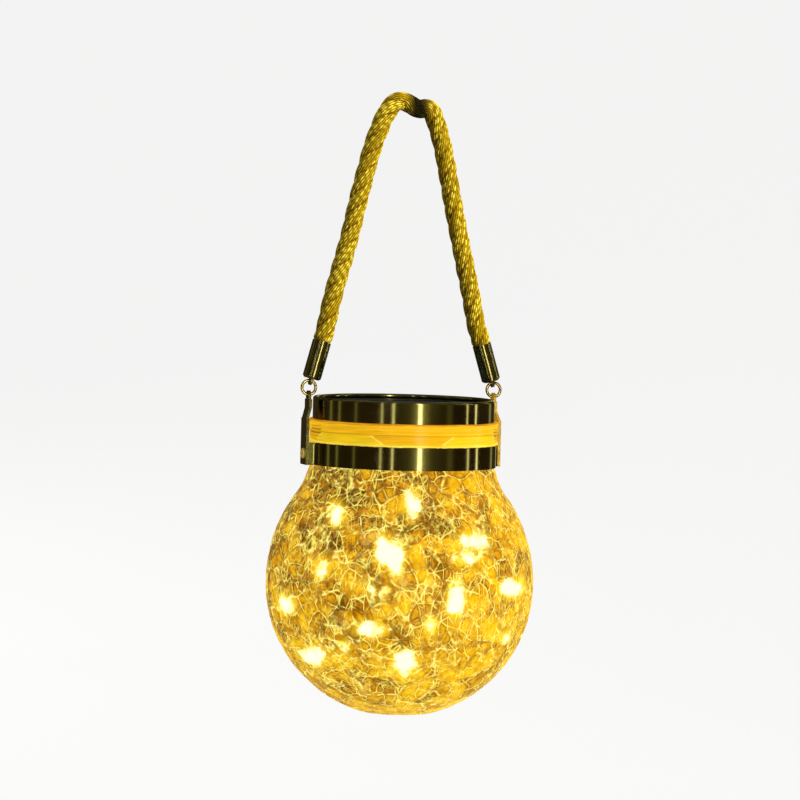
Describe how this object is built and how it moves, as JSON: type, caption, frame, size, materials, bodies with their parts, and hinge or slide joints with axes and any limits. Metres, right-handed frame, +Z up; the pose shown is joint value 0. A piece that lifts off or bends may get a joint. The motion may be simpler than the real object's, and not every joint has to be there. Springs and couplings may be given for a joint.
{
  "type": "crackle glass jar lantern",
  "caption": "Round crackled glass jar lantern with a steel lid and neck band, a clear lit collar, a solar lid, a light string inside and a rope handle.",
  "frame": {"origin": "underside of the rope's crown, where a hook carries the lantern", "axes": "+Z up, X through the two handle rings, -Y the front"},
  "size_m": [0.126, 0.126, 0.2907],
  "materials": {
    "hemp_rope": "twisted",
    "dark_brass": "satin",
    "gold_wire": "polished",
    "brushed_steel": "brushed",
    "crackle_glass": "crackled",
    "clear_plastic": "moulded clear plastic",
    "white_silicone": "satin",
    "black_plastic": "moulded",
    "white_plastic": "moulded",
    "green_board": "solder mask",
    "solar_cell": "polycrystalline",
    "tinned_copper": "satin",
    "clear_resin": "gloss",
    "battery_wrap": "shrink sleeve",
    "spring_steel": "plated",
    "screw_steel": "plated",
    "hookup_wire": "insulated",
    "copper_wire": "lacquered",
    "led_resin": "gloss",
    "clear_lead": "insulated",
    "black_rubber": "matte"
  },
  "bodies": {
    "rope_handle": {"rope": "hemp_rope", "left_ferrule": "dark_brass", "right_ferrule": "dark_brass"},
    "ring_pair": {"left_ring": "gold_wire", "right_ring": "gold_wire"},
    "jar_body": {"glass_jar": "crackle_glass", "neck_band": "brushed_steel", "left_hanger": "dark_brass", "right_hanger": "dark_brass", "left_spacer": "dark_brass", "right_spacer": "dark_brass", "hanger_rivets": "gold_wire", "light_wire": "copper_wire", "led_beads": "led_resin", "lead_wire": "clear_lead"},
    "lid_body": {"lid_seal": "white_silicone", "lid_rim": "brushed_steel", "clear_collar": "clear_plastic", "top_plate": "black_plastic", "solar_board": "green_board", "solar_cells": "solar_cell", "cell_ribbons": "tinned_copper", "panel_cover": "clear_resin", "lid_housing": "white_plastic", "housing_screws": "screw_steel", "circuit_board": "green_board", "board_parts": "black_plastic", "battery": "battery_wrap", "battery_spring": "spring_steel", "battery_plate": "spring_steel", "battery_door": "white_plastic", "door_screw": "screw_steel", "switch_body": "black_plastic", "panel_leads": "hookup_wire", "battery_leads": "hookup_wire", "lead_grommet": "black_rubber", "lead_tail": "clear_lead"},
    "switch_knob_body": {"switch_knob": "white_plastic"}
  },
  "joints": [
    {"name": "ring_swing", "type": "hinge", "parent": "rope_handle", "child": "ring_pair", "pos_m": [0, 0, -0.1235], "axis": [1, 0, 0], "range_deg": [-25, 25]},
    {"name": "jar_swing", "type": "hinge", "parent": "ring_pair", "child": "jar_body", "pos_m": [0, 0, -0.1308], "axis": [1, 0, 0], "range_deg": [-40, 40]},
    {"name": "lid_twist", "type": "hinge", "parent": "jar_body", "child": "lid_body", "pos_m": [0, 0, -0.1525], "axis": [0, 0, 1], "range_deg": [0, 90]},
    {"name": "switch_slide", "type": "slide", "parent": "lid_body", "child": "switch_knob_body", "axis": [1, 0, 0], "range_m": [0, 0.003]}
  ]
}
